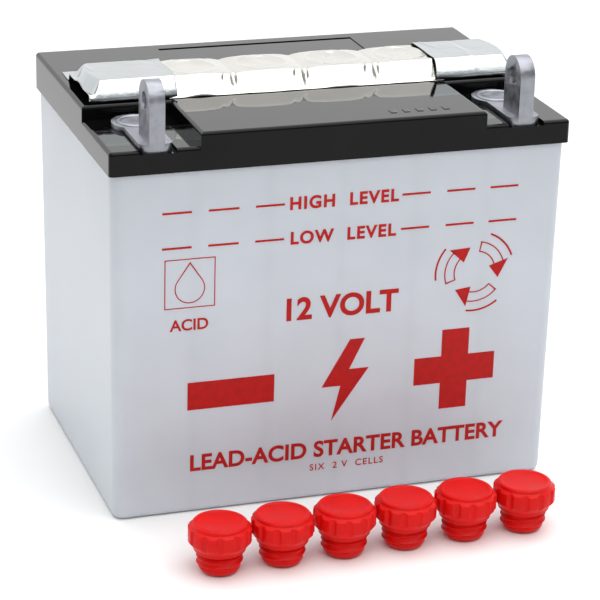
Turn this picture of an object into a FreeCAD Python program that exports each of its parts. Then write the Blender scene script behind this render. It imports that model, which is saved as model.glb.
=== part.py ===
import FreeCAD, Part
import math
import os

# Flooded lead-acid motorcycle battery: six cells in a row, 12 V.
# Millimetres. +X to the right, the printed face looks to -Y, +Z up.
# Origin: the centre of the base, on the surface that the battery stands on.

# --- overall sizes ---
LENGTH = 184.0            # lid, along X
WIDTH = 124.0             # lid, along Y
HEIGHT = 175.0            # floor to the top of the terminal lugs
CELLS = 6

# --- heights of the lid, measured down from the lug tops ---
LUG_RISE = 24.5           # lug top above the terminal deck
DECK_RISE = 9.3           # terminal deck above the seam between case and lid
PANEL_RISE = 5.5          # raised panel above the terminal deck
DECK_Z = HEIGHT - LUG_RISE
SEAM_Z = DECK_Z - DECK_RISE
PANEL_Z = DECK_Z + PANEL_RISE

# --- case ---
LID_OVERHANG = 1.0        # the lid stands out past the case on every side
DRAFT = 1.2               # the case narrows by this much per side towards its base
WALL = 2.5
FLOOR = 3.0
PARTITION = 1.8
CASE_CORNER_R = 4.5
BASE_EDGE_R = 3.0
RIB_H = 6.0               # ribs under the plates leave room for sediment
RIB_W = 2.0
RIB_COUNT = 4
RIB_INSET = 11.0          # outer rib, in from the plates' edge

# --- plates, all of them in YZ planes and stacked along X ---
STRAP_HEADROOM = 23.2     # strap top below the seam
PLATE_EDGE_GAP = 1.5      # plate edge to case wall
STACK_END_GAP = 0.4       # last plate to partition
NEGATIVES = 5
POSITIVES = NEGATIVES - 1
NEGATIVE_T = 1.6
POSITIVE_T = 2.2
SEPARATOR_RISE = 2.0      # separators stand above the plates
PLATE_LUG_W = 10.0
PLATE_LUG_RISE = 9.0

# --- straps that join the plates, and the welds through the partitions ---
STRAP_Y = 30.0            # strap centre in front of and behind the middle
STRAP_W = 14.0
STRAP_T = 5.0
TAB_T = 3.0
TAB_H = 15.0
WELD_R = 5.0
WELD_CLEARANCE = 0.1
TAB_MARGIN = 1.0          # tab above the weld

# --- terminals ---
POST_R = 5.0
SEAL_T = 3.0              # rubber between post and lid
SEAL_CLEARANCE = 0.05
CHANNEL_DEPTH = 1.6       # the terminal foot lies in a channel in the deck
CHANNEL_GAP = 0.9         # black gap seen round the foot
FOOT_T = 3.4
FOOT_W = 13.0
PAD_LAP = 1.5             # the pad covers the seal by this much
LUG_T = 6.0               # along X
LUG_W = 15.5              # along Y
LUG_HOLE_R = 3.3          # for an M6 bolt
LUG_EDGE_R = 0.9
LUG_INSET = 1.2           # lug front behind the lid's front face

# --- lid ---
LID_T = 3.0
LID_CORNER_R = 1.6
LID_EDGE_R = 1.4
WELL_GAP = 7.4            # raised strip between a terminal well and the filler necks
WELL_LENGTH_X = 35.0      # terminal well, in from the end
RECESS_LENGTH = 84.0      # shallow panel behind the filler necks
RECESS_WIDTH = 38.0
RECESS_BACK_GAP = 7.0
RECESS_DEPTH = 0.35
BOSS_WALL = 3.5           # lid material round the seal

# --- filler necks and vent plugs ---
PLUG_STEM_R = 8.6         # over the thread crests
PLUG_CLEARANCE = 0.4
NECK_T = 2.6
NECK_RISE = 7.0           # neck rim above the raised panel
NECK_DROP = 18.0          # filler tube below the raised panel
NECK_Y = 0.0
PLUG_THREAD_DEPTH = 0.7
PLUG_THREAD_PITCH = 2.6
PLUG_THREADS = 3
PLUG_STEM_H = 9.0
PLUG_FLANGE_LIP = 1.3     # flange out past the thread
PLUG_FLANGE_H = 1.6
PLUG_SKIRT_H = 2.2
PLUG_HEAD_LIP = 2.1       # grip out past the flange
PLUG_GRIP_H = 5.4
PLUG_TOP_STEP = 1.6       # top disc in from the grip
PLUG_TOP_H = 1.8
PLUG_LOBES = 12
PLUG_FLUTE_R = 1.7
PLUG_WALL = 1.7
PLUG_VENT_R = 0.6
BAFFLE_T = 1.6
BAFFLE_Z = 5.0
BAFFLE_CLEARANCE = 0.05
BAFFLE_HOLE_R = 1.1
BAFFLE_HOLES = 4
PLUG_GAP = 0.8            # the plugs stand in a row, this far apart
PLUG_DISTANCE = 45.5      # row centre in front of the lid
PLUG_ROW_SLOPE = 0.027    # the row is not quite parallel to the battery
PLUG_TURN = 17.0          # degrees that each plug is turned past the one before

# --- foil seal over the filler necks ---
FOIL_T = 0.5
FOIL_CREST_GAP = 1.0      # foil above the neck rims
FOIL_CREST_LAP = 1.9      # level stretch out past the neck rims
FOIL_SLOPE_W = 6.0        # sloping stretch on each side
FOIL_END_GAP = 3.5        # foil end to lid end
FOIL_END_LENGTH = 31.5    # each end strip, not counting its lap
FOIL_LAP = 3.5

# --- sizes that follow from the ones above ---
TOP_HALF_X = LENGTH / 2 - LID_OVERHANG
TOP_HALF_Y = WIDTH / 2 - LID_OVERHANG
BASE_HALF_X = TOP_HALF_X - DRAFT
BASE_HALF_Y = TOP_HALF_Y - DRAFT
CELL_PITCH = (2 * (BASE_HALF_X - WALL) + PARTITION) / CELLS
CELL_LENGTH = CELL_PITCH - PARTITION
CELL_X = [(i - (CELLS - 1) / 2) * CELL_PITCH for i in range(CELLS)]
TERMINAL_X = CELL_X[-1]
PLATE_HALF_W = BASE_HALF_Y - WALL - PLATE_EDGE_GAP
PLATE_Z = FLOOR + RIB_H
RIB_SPAN = 2 * (PLATE_HALF_W - RIB_INSET)
STRAP_TOP = SEAM_Z - STRAP_HEADROOM
STRAP_Z = STRAP_TOP - STRAP_T
PLATE_TOP = STRAP_Z - PLATE_LUG_RISE
WELD_Z = STRAP_TOP + TAB_H - TAB_MARGIN - WELD_R
SEPARATORS = NEGATIVES + POSITIVES - 1
STACK_LENGTH = CELL_LENGTH - 2 * STACK_END_GAP
SEPARATOR_T = (STACK_LENGTH - NEGATIVES * NEGATIVE_T - POSITIVES * POSITIVE_T) / SEPARATORS
LID_SIDE = LID_OVERHANG + WALL
NECK_HOLE_R = PLUG_STEM_R + PLUG_CLEARANCE
NECK_R = NECK_HOLE_R + NECK_T
NECK_TOP = PANEL_Z + NECK_RISE
SEAL_R = POST_R + SEAL_T
PAD_R = SEAL_R + PAD_LAP
BOSS_R = SEAL_R + BOSS_WALL
CHANNEL_Z = DECK_Z - CHANNEL_DEPTH
PAD_TOP = CHANNEL_Z + FOOT_T
LUG_Y = -WIDTH / 2 + LUG_INSET + LUG_W / 2
WELL_BACK_Y = NECK_Y - NECK_R - WELL_GAP
WELL_INNER_X = LENGTH / 2 - WELL_LENGTH_X
FOIL_Z = NECK_TOP + FOIL_CREST_GAP
FOIL_X = LENGTH / 2 - FOIL_END_GAP
FOIL_JOINT_X = FOIL_X - FOIL_END_LENGTH
FOIL_CREST_HALF = NECK_R + FOIL_CREST_LAP
PLUG_Y = -WIDTH / 2 - PLUG_DISTANCE
PLUG_FLANGE_R = PLUG_STEM_R + PLUG_FLANGE_LIP
PLUG_HEAD_R = PLUG_FLANGE_R + PLUG_HEAD_LIP
PLUG_TOP_R = PLUG_HEAD_R - PLUG_TOP_STEP
PLUG_SPACING = 2 * PLUG_HEAD_R + PLUG_GAP
PLUG_HEAD_Z = PLUG_STEM_H + PLUG_FLANGE_H
PLUG_TOP_Z = PLUG_HEAD_Z + PLUG_SKIRT_H + PLUG_GRIP_H + PLUG_TOP_H
PLUG_BORE_R = PLUG_STEM_R - PLUG_THREAD_DEPTH - PLUG_WALL

X_AXIS = FreeCAD.Vector(1, 0, 0)
Y_AXIS = FreeCAD.Vector(0, 1, 0)
Z_AXIS = FreeCAD.Vector(0, 0, 1)


def block(x0, x1, y0, y1, z0, z1):
    """Box between two corners."""
    return Part.makeBox(x1 - x0, y1 - y0, z1 - z0, FreeCAD.Vector(x0, y0, z0))


def disc(x, y, z, radius, height):
    """Upright cylinder standing on z."""
    return Part.makeCylinder(radius, height, FreeCAD.Vector(x, y, z), Z_AXIS)


def union(shapes):
    """One solid from several that touch or overlap."""
    return shapes[0].multiFuse(shapes[1:]).removeSplitter()


def rounded_rectangle(half_x, half_y, radius, z):
    """Closed wire with arcs at its four corners."""
    corners = [(1, 1), (-1, 1), (-1, -1), (1, -1)]
    edges = []
    starts = []
    ends = []
    for index, (sx, sy) in enumerate(corners):
        centre = FreeCAD.Vector(sx * (half_x - radius), sy * (half_y - radius), z)
        circle = Part.Circle(centre, Z_AXIS, radius)
        first = index * math.pi / 2
        arc = Part.Arc(circle, first, first + math.pi / 2).toShape()
        edges.append(arc)
        starts.append(arc.valueAt(arc.FirstParameter))
        ends.append(arc.valueAt(arc.LastParameter))
    wire = []
    for index in range(4):
        wire.append(edges[index])
        wire.append(Part.makeLine(ends[index], starts[(index + 1) % 4]))
    return Part.Wire(wire)


def drafted_block(inset, radius, z0, z1):
    """Tapering block that follows the case's outside, moved inwards by inset."""
    wires = []
    for z in (z0, z1):
        grow = DRAFT * z / SEAM_Z
        wires.append(rounded_rectangle(BASE_HALF_X + grow - inset, BASE_HALF_Y + grow - inset, radius, z))
    return Part.makeLoft(wires, True, True)


def cell_front(index):
    """-1 where a cell's positive strap is behind, 1 where it is in front."""
    return -1 if index % 2 == 0 else 1


def weld_y(index):
    """Y of the weld through the partition between cells index and index + 1."""
    return STRAP_Y if index % 2 == 0 else -STRAP_Y


def make_container():
    """Case with six cells, ribs on its floor and a hole in each partition for a weld."""
    outside = drafted_block(0, CASE_CORNER_R, 0, SEAM_Z)
    base_edges = [edge for edge in outside.Edges if edge.BoundBox.ZMax < 0.01]
    outside = outside.makeFillet(BASE_EDGE_R, base_edges)
    cells = drafted_block(WALL, CASE_CORNER_R - WALL, FLOOR, SEAM_Z)
    solid = []
    for left, right in zip(CELL_X[:-1], CELL_X[1:]):
        middle = (left + right) / 2
        solid.append(block(middle - PARTITION / 2, middle + PARTITION / 2, -WIDTH, WIDTH, 0, HEIGHT))
    for index in range(RIB_COUNT):
        y = RIB_SPAN * (index / (RIB_COUNT - 1) - 0.5)
        solid.append(block(-LENGTH, LENGTH, y - RIB_W / 2, y + RIB_W / 2, 0, PLATE_Z))
    shape = outside.cut(cells.cut(solid))
    for index in range(CELLS - 1):
        start = FreeCAD.Vector(CELL_X[index], weld_y(index), WELD_Z)
        shape = shape.cut(Part.makeCylinder(WELD_R + WELD_CLEARANCE, CELL_PITCH, start, X_AXIS))
    return shape


def stack_positions():
    """X of the near face of every layer in a cell, measured from the cell's centre."""
    layers = []
    x = -STACK_LENGTH / 2
    for index in range(NEGATIVES + POSITIVES):
        kind = "negative" if index % 2 == 0 else "positive"
        thickness = NEGATIVE_T if kind == "negative" else POSITIVE_T
        layers.append((kind, x, thickness))
        x += thickness
        if index < SEPARATORS:
            layers.append(("separator", x, SEPARATOR_T))
            x += SEPARATOR_T
    return layers


def make_plate_group(cell, kind):
    """The plates of one kind in one cell, with their lugs, strap and weld tab."""
    positive = kind == "positive"
    side = 1 if positive else -1
    strap_y = -cell_front(cell) * side * STRAP_Y
    x0 = CELL_X[cell]
    pieces = []
    plates = [layer for layer in stack_positions() if layer[0] == kind]
    for _, x, thickness in plates:
        pieces.append(block(x0 + x, x0 + x + thickness, -PLATE_HALF_W, PLATE_HALF_W, PLATE_Z, PLATE_TOP))
        pieces.append(block(x0 + x, x0 + x + thickness, strap_y - PLATE_LUG_W / 2,
                            strap_y + PLATE_LUG_W / 2, PLATE_TOP, STRAP_Z))
    start = x0 + plates[0][1]
    end = x0 + plates[-1][1] + plates[-1][2]
    has_tab = cell < CELLS - 1 if positive else cell > 0
    if has_tab and positive:
        end = x0 + CELL_LENGTH / 2
        pieces.append(block(end - TAB_T, end, strap_y - STRAP_W / 2, strap_y + STRAP_W / 2,
                            STRAP_TOP, STRAP_TOP + TAB_H))
    if has_tab and not positive:
        start = x0 - CELL_LENGTH / 2
        pieces.append(block(start, start + TAB_T, strap_y - STRAP_W / 2, strap_y + STRAP_W / 2,
                            STRAP_TOP, STRAP_TOP + TAB_H))
    pieces.append(block(start, end, strap_y - STRAP_W / 2, strap_y + STRAP_W / 2, STRAP_Z, STRAP_TOP))
    return union(pieces)


def make_separators(cell):
    """Thin sheets between the plates of one cell."""
    x0 = CELL_X[cell]
    sheets = []
    for kind, x, thickness in stack_positions():
        if kind == "separator":
            sheets.append(block(x0 + x, x0 + x + thickness, -PLATE_HALF_W, PLATE_HALF_W,
                                PLATE_Z, PLATE_TOP + SEPARATOR_RISE))
    return Part.makeCompound(sheets)


def make_weld(index):
    """Lead plug that joins two straps through a partition."""
    start = FreeCAD.Vector(CELL_X[index] + CELL_LENGTH / 2, weld_y(index), WELD_Z)
    return Part.makeCylinder(WELD_R, PARTITION, start, X_AXIS)


def make_post(x):
    """Terminal post, from its strap up through the lid to the top of the terminal's pad."""
    return disc(x, -STRAP_Y, STRAP_TOP, POST_R, PAD_TOP - STRAP_TOP)


def make_seal(x):
    """Rubber bush between the post and the lid."""
    outer = disc(x, -STRAP_Y, SEAM_Z, SEAL_R - SEAL_CLEARANCE, CHANNEL_Z - SEAM_Z)
    return outer.cut(disc(x, -STRAP_Y, SEAM_Z, POST_R + SEAL_CLEARANCE, CHANNEL_Z - SEAM_Z))


def make_terminal(x):
    """Cast lead terminal: a pad round the post, a foot, and an upright lug with a bolt hole."""
    foot = block(x - FOOT_W / 2, x + FOOT_W / 2, LUG_Y - LUG_W / 2, -STRAP_Y, CHANNEL_Z, PAD_TOP)
    front_edges = [edge for edge in foot.Edges
                   if edge.BoundBox.YMax < LUG_Y - LUG_W / 2 + 0.01 and edge.BoundBox.ZLength > FOOT_T / 2]
    foot = foot.makeFillet(FOOT_T / 2, front_edges)
    pad = disc(x, -STRAP_Y, CHANNEL_Z, PAD_R, FOOT_T)
    arch = Part.makeCylinder(LUG_W / 2, LUG_T, FreeCAD.Vector(x - LUG_T / 2, LUG_Y, HEIGHT - LUG_W / 2), X_AXIS)
    blade = block(x - LUG_T / 2, x + LUG_T / 2, LUG_Y - LUG_W / 2, LUG_Y + LUG_W / 2,
                  CHANNEL_Z, HEIGHT - LUG_W / 2)
    lug = union([blade, arch])
    outline = [edge for edge in lug.Edges if edge.BoundBox.XLength < 0.01 and edge.BoundBox.ZMax > DECK_Z]
    lug = lug.makeFillet(LUG_EDGE_R, outline)
    shape = union([foot, pad, lug])
    hole_start = FreeCAD.Vector(x - LUG_T, LUG_Y, HEIGHT - LUG_W / 2)
    shape = shape.cut(Part.makeCylinder(LUG_HOLE_R, 2 * LUG_T, hole_start, X_AXIS))
    return shape.cut(disc(x, -STRAP_Y, CHANNEL_Z, POST_R + SEAL_CLEARANCE, FOOT_T))


def make_lid():
    """Lid with a terminal well at each front corner, six filler necks and a pocket over each cell."""
    body = block(-LENGTH / 2, LENGTH / 2, -WIDTH / 2, WIDTH / 2, SEAM_Z, PANEL_Z)
    corners = [edge for edge in body.Edges if edge.BoundBox.ZLength > PANEL_Z - SEAM_Z - 0.01]
    body = body.makeFillet(LID_CORNER_R, corners)
    wells = [block(WELL_INNER_X, LENGTH, -WIDTH, WELL_BACK_Y, DECK_Z, HEIGHT),
             block(-LENGTH, -WELL_INNER_X, -WIDTH, WELL_BACK_Y, DECK_Z, HEIGHT)]
    body = body.cut(wells)
    top_edges = [edge for edge in body.Edges
                 if edge.BoundBox.ZMin > DECK_Z - 0.01 and edge.BoundBox.ZLength < 0.01
                 and not (abs(edge.BoundBox.ZMin - DECK_Z) < 0.01 and inner_well_edge(edge))]
    body = body.makeFillet(LID_EDGE_R, top_edges)
    cuts = []
    recess_y1 = WIDTH / 2 - RECESS_BACK_GAP
    cuts.append(block(-RECESS_LENGTH / 2, RECESS_LENGTH / 2, recess_y1 - RECESS_WIDTH, recess_y1,
                      PANEL_Z - RECESS_DEPTH, HEIGHT))
    pocket_y = WIDTH / 2 - LID_SIDE
    for x in CELL_X:
        x0 = x - CELL_LENGTH / 2
        x1 = x + CELL_LENGTH / 2
        cuts.append(block(x0, x1, -pocket_y, pocket_y, SEAM_Z, DECK_Z - LID_T))
        cuts.append(block(x0, x1, WELL_BACK_Y + LID_T, pocket_y, SEAM_Z, PANEL_Z - LID_T))
    body = body.cut(cuts)
    adds = [body]
    for x in (-TERMINAL_X, TERMINAL_X):
        adds.append(disc(x, -STRAP_Y, SEAM_Z, BOSS_R, CHANNEL_Z - SEAM_Z))
    for x in CELL_X:
        adds.append(disc(x, NECK_Y, PANEL_Z - NECK_DROP, NECK_R, NECK_RISE + NECK_DROP))
    body = union(adds)
    cuts = []
    for x in (-TERMINAL_X, TERMINAL_X):
        cuts.append(disc(x, -STRAP_Y, SEAM_Z, SEAL_R, DECK_Z - SEAM_Z))
        cuts.append(disc(x, -STRAP_Y, CHANNEL_Z, PAD_R + CHANNEL_GAP, HEIGHT - CHANNEL_Z))
        cuts.append(block(x - FOOT_W / 2 - CHANNEL_GAP, x + FOOT_W / 2 + CHANNEL_GAP,
                          -WIDTH, -STRAP_Y, CHANNEL_Z, DECK_Z + LID_EDGE_R))
    for x in CELL_X:
        cuts.append(disc(x, NECK_Y, 0, NECK_HOLE_R, HEIGHT))
    return body.cut(cuts)


def inner_well_edge(edge):
    """True for the two edges of a terminal well that meet its raised walls."""
    box = edge.BoundBox
    along_x = abs(box.YMin - WELL_BACK_Y) < 0.01 and box.YLength < 0.01
    along_y = abs(abs(box.XMin) - WELL_INNER_X) < 0.01 and box.XLength < 0.01
    return along_x or along_y


def stand_plug_part(shape, index):
    """Turns a plug's part and moves it to its place in the row."""
    x = (index - (CELLS - 1) / 2) * PLUG_SPACING
    turned = shape.rotated(FreeCAD.Vector(), Z_AXIS, index * PLUG_TURN)
    return turned.translated(FreeCAD.Vector(x, PLUG_Y + PLUG_ROW_SLOPE * x, 0))


def make_plug():
    """Screw-in vent plug standing on its stem: thread, flange, scalloped grip and a stepped top."""
    core_r = PLUG_STEM_R - PLUG_THREAD_DEPTH
    points = [(0, 0), (core_r, 0)]
    first = PLUG_STEM_H - PLUG_THREADS * PLUG_THREAD_PITCH
    for index in range(PLUG_THREADS):
        z = first + index * PLUG_THREAD_PITCH
        points.append((core_r, z))
        points.append((PLUG_STEM_R, z + PLUG_THREAD_DEPTH))
        points.append((PLUG_STEM_R, z + 1.5 * PLUG_THREAD_DEPTH))
        points.append((core_r, z + 2.5 * PLUG_THREAD_DEPTH))
    points.append((core_r, PLUG_STEM_H))
    points.append((PLUG_FLANGE_R, PLUG_STEM_H))
    points.append((PLUG_FLANGE_R, PLUG_HEAD_Z))
    points.append((PLUG_HEAD_R, PLUG_HEAD_Z + PLUG_SKIRT_H))
    points.append((PLUG_HEAD_R, PLUG_HEAD_Z + PLUG_SKIRT_H + PLUG_GRIP_H))
    points.append((PLUG_TOP_R, PLUG_TOP_Z - PLUG_TOP_H / 2))
    points.append((PLUG_TOP_R, PLUG_TOP_Z))
    points.append((0, PLUG_TOP_Z))
    outline = [FreeCAD.Vector(r, 0, z) for r, z in points + points[:1]]
    shape = Part.Face(Part.makePolygon(outline)).revolve(FreeCAD.Vector(), Z_AXIS, 360)
    cuts = [disc(0, 0, 0, PLUG_BORE_R, PLUG_TOP_Z - PLUG_TOP_H - PLUG_WALL)]
    for index in range(PLUG_LOBES):
        angle = 2 * math.pi * (index + 0.5) / PLUG_LOBES
        away = PLUG_HEAD_R + PLUG_FLUTE_R / 2
        cuts.append(disc(away * math.cos(angle), away * math.sin(angle), PLUG_HEAD_Z,
                         PLUG_FLUTE_R, PLUG_TOP_Z - PLUG_HEAD_Z))
    vent_z = PLUG_HEAD_Z + PLUG_SKIRT_H + PLUG_GRIP_H / 2
    cuts.append(Part.makeCylinder(PLUG_VENT_R, PLUG_HEAD_R, FreeCAD.Vector(0, 0, vent_z), Y_AXIS))
    return shape.cut(cuts)


def make_baffle():
    """Splash disc pressed into a plug's bore."""
    shape = disc(0, 0, BAFFLE_Z, PLUG_BORE_R - BAFFLE_CLEARANCE, BAFFLE_T)
    for index in range(BAFFLE_HOLES):
        angle = 2 * math.pi * index / BAFFLE_HOLES
        away = PLUG_BORE_R * 0.6
        shape = shape.cut(disc(away * math.cos(angle), away * math.sin(angle), BAFFLE_Z,
                               BAFFLE_HOLE_R, BAFFLE_T))
    return shape


def foil_section(lift):
    """Cross-section of the foil in a YZ plane: a flat crest with a slope down to the lid each side."""
    crest = FOIL_CREST_HALF
    foot = crest + FOIL_SLOPE_W
    low = PANEL_Z + lift
    high = FOIL_Z + lift
    inner = [(-foot, low), (-crest, high), (crest, high), (foot, low)]
    outer = [(foot, low + FOIL_T), (crest, high + FOIL_T), (-crest, high + FOIL_T), (-foot, low + FOIL_T)]
    points = [FreeCAD.Vector(0, NECK_Y + y, z) for y, z in inner + outer + inner[:1]]
    return Part.Face(Part.makePolygon(points))


def make_foil(x0, x1, lift):
    """Stretch of foil from x0 to x1, lifted by the thickness of what lies below it."""
    section = foil_section(lift).translated(FreeCAD.Vector(x0, 0, 0))
    return section.extrude(FreeCAD.Vector(x1 - x0, 0, 0))


def export(name, shape):
    """Write one node."""
    if not shape.isValid() or not shape.Solids:
        raise ValueError(name + " is not a valid solid")
    shape.exportStep("parts/" + name + ".step")


def main():
    os.makedirs("parts", exist_ok=True)
    export("container", make_container())
    export("lid", make_lid())
    for index in range(CELLS):
        number = str(index + 1)
        export("positive_plates_" + number, make_plate_group(index, "positive"))
        export("negative_plates_" + number, make_plate_group(index, "negative"))
        export("separators_" + number, make_separators(index))
    for index in range(CELLS - 1):
        export("cell_weld_" + str(index + 1), make_weld(index))
    for side, x in (("left", -TERMINAL_X), ("right", TERMINAL_X)):
        export("post_" + side, make_post(x))
        export("post_seal_" + side, make_seal(x))
        export("terminal_" + side, make_terminal(x))
    export("foil_strip", make_foil(-FOIL_JOINT_X, FOIL_JOINT_X, 0))
    export("foil_end_strip_left", make_foil(-FOIL_X, -FOIL_JOINT_X + FOIL_LAP, FOIL_T))
    export("foil_end_strip_right", make_foil(FOIL_JOINT_X - FOIL_LAP, FOIL_X, FOIL_T))
    plug = make_plug()
    baffle = make_baffle()
    for index in range(CELLS):
        export("vent_plug_" + str(index + 1), stand_plug_part(plug, index))
        export("plug_baffle_" + str(index + 1), stand_plug_part(baffle, index))


main()
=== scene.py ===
import math
import random

import bmesh
import bpy
from mathutils import Matrix, Vector, noise


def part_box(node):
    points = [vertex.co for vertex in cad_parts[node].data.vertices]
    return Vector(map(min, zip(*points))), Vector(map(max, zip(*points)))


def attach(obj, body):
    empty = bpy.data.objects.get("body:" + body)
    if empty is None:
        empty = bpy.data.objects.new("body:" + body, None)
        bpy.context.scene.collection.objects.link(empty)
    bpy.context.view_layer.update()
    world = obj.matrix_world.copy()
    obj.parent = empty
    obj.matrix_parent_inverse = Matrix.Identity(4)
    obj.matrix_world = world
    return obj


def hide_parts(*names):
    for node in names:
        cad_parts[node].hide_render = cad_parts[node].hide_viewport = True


bl_info = {
    "name": "Motorcycle battery",
    "version": (1, 0, 0),
    "blender": (4, 5, 0),
    "location": "3D View > Sidebar > Battery",
    "description": "Finishes a flooded motorcycle battery: foil seal, lead terminals, vent plugs and print",
    "category": "Add Mesh",
}

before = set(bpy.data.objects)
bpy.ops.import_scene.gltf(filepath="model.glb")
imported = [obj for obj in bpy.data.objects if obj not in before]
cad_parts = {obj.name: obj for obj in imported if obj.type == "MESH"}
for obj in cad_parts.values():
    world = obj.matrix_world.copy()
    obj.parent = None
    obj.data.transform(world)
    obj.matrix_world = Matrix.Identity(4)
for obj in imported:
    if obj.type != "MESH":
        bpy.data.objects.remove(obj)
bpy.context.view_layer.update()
MM = 0.001
CELLS = 6
SIDES = ("left", "right")
CASE_DRAFT = 1.2 * MM        # the case's front leans back by this much at its base
DOUBLES = 0.005 * MM         # vertices closer than this are merged
SMOOTH_ANGLE = 30            # shading is smooth over edges flatter than this, in degrees
WELDED_ANGLE = 32            # the same for a piece that a boolean has joined


# --- selecting and finishing -------------------------------------------------------------------

def deselect():
    """Leaves edit mode and deselects every object."""
    if bpy.context.object and bpy.context.object.mode != "OBJECT":
        bpy.ops.object.mode_set(mode="OBJECT")
    bpy.ops.object.select_all(action="DESELECT")


def activate(obj):
    """Makes obj the only selected and the active object."""
    deselect()
    obj.select_set(True)
    bpy.context.view_layer.objects.active = obj


def edit(obj, kind):
    """Enters edit mode with nothing selected, picking by "VERT", "EDGE" or "FACE"."""
    activate(obj)
    bpy.ops.object.mode_set(mode="EDIT")
    bpy.ops.mesh.select_mode(type=kind)
    bpy.ops.mesh.select_all(action="DESELECT")


def pick(obj, kind, test):
    """Selects the vertices, edges or faces whose middle passes the test, in edit mode."""
    mesh = bmesh.from_edit_mesh(obj.data)
    if kind == "VERT":
        found = [item for item in mesh.verts if test(item.co)]
    elif kind == "EDGE":
        found = [item for item in mesh.edges if test((item.verts[0].co + item.verts[1].co) / 2)]
    else:
        found = [item for item in mesh.faces if test(item.calc_center_median())]
    for item in found:
        item.select_set(True)
    mesh.select_flush_mode()
    bmesh.update_edit_mesh(obj.data)


def leave():
    """Goes back from edit mode to object mode."""
    bpy.ops.object.mode_set(mode="OBJECT")


def apply_place(obj):
    """Moves the object's place, turn and scale into its mesh."""
    activate(obj)
    bpy.ops.object.transform_apply(location=True, rotation=True, scale=True)


def apply_modifiers(obj):
    """Applies all the object's modifiers, in their order."""
    activate(obj)
    for modifier in list(obj.modifiers):
        bpy.ops.object.modifier_apply(modifier=modifier.name)


def cut(obj, tool, operation="DIFFERENCE"):
    """Applies a boolean with another mesh and removes that mesh."""
    modifier = obj.modifiers.new("cut", "BOOLEAN")
    modifier.object = tool
    modifier.operation = operation
    modifier.solver = "EXACT"
    apply_modifiers(obj)
    bpy.data.objects.remove(tool, do_unlink=True)


def join(objects):
    """Joins the objects into the first one."""
    activate(objects[0])
    for other in objects[1:]:
        other.select_set(True)
    bpy.ops.object.join()
    return objects[0]


def clean(obj):
    """Merges doubled vertices and turns the faces outwards."""
    edit(obj, "VERT")
    bpy.ops.mesh.select_all(action="SELECT")
    bpy.ops.mesh.remove_doubles(threshold=DOUBLES)
    bpy.ops.mesh.normals_make_consistent(inside=False)
    leave()


def soften(obj, width, segments=3, angle=35):
    """Rounds every edge sharper than angle, in degrees, and smooths the shading."""
    modifier = obj.modifiers.new("round", "BEVEL")
    modifier.width = width
    modifier.segments = segments
    modifier.limit_method = "ANGLE"
    modifier.angle_limit = math.radians(angle)
    modifier.miter_outer = "MITER_ARC"
    modifier.use_clamp_overlap = True
    apply_modifiers(obj)
    activate(obj)
    bpy.ops.object.shade_smooth_by_angle(angle=math.radians(SMOOTH_ANGLE))


def settle(obj, name, material, body, replaces=()):
    """Names a finished piece, gives it its finish and lets it ride on its body."""
    apply_place(obj)
    obj.name = name
    obj.data.name = name
    obj.data.materials.clear()
    obj.data.materials.append(material)
    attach(obj, body)
    if replaces:
        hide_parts(*replaces)
    deselect()
    return obj


def copy_of(obj, offset, turn=0.0):
    """A copy with its own mesh, turned about Z through the world's origin and then moved."""
    twin = obj.copy()
    twin.data = obj.data.copy()
    bpy.context.scene.collection.objects.link(twin)
    twin.data.transform(Matrix.Translation(Vector(offset)) @ Matrix.Rotation(turn, 4, "Z"))
    return twin


# --- shapes that several pieces start from -----------------------------------------------------

def add_block(low, high):
    """A box between two corners."""
    low, high = Vector(low), Vector(high)
    deselect()
    bpy.ops.mesh.primitive_cube_add(size=1, location=(low + high) / 2)
    block = bpy.context.object
    block.scale = high - low
    apply_place(block)
    return block


def add_drum(centre, radius, height, axis="Z", sides=64):
    """A cylinder about one axis, centred on centre."""
    turn = {"X": (0, math.pi / 2, 0), "Y": (math.pi / 2, 0, 0), "Z": (0, 0, 0)}[axis]
    deselect()
    bpy.ops.mesh.primitive_cylinder_add(vertices=sides, radius=radius, depth=height,
                                        location=centre, rotation=turn)
    drum = bpy.context.object
    apply_place(drum)
    return drum


def lathe(outline, sides=96):
    """Turned shape about Z: a circle at the first (radius, z), extruded and resized along the rest."""
    deselect()
    radius, z = outline[0]
    bpy.ops.mesh.primitive_circle_add(vertices=sides, radius=radius, fill_type="NGON", location=(0, 0, z))
    turned = bpy.context.object
    apply_place(turned)
    bpy.ops.object.mode_set(mode="EDIT")
    bpy.ops.mesh.select_mode(type="EDGE")
    bpy.ops.mesh.select_all(action="SELECT")
    for next_radius, next_z in outline[1:]:
        bpy.ops.mesh.extrude_region_move(TRANSFORM_OT_translate={"value": (0, 0, next_z - z)})
        share = next_radius / radius
        bpy.ops.transform.resize(value=(share, share, 1), center_override=(0, 0, next_z))
        radius, z = next_radius, next_z
    leave()
    clean(turned)
    return turned


def lay_grid(low, high, step):
    """A level grid of small squares between two corners in X and Y."""
    across = max(2, round((high[0] - low[0]) / step))
    along = max(2, round((high[1] - low[1]) / step))
    deselect()
    middle = ((low[0] + high[0]) / 2, (low[1] + high[1]) / 2, 0)
    bpy.ops.mesh.primitive_grid_add(x_subdivisions=across, y_subdivisions=along, size=1, location=middle)
    grid = bpy.context.object
    grid.scale = (high[0] - low[0], high[1] - low[1], 1)
    apply_place(grid)
    return grid


# --- finishes ----------------------------------------------------------------------------------

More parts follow.
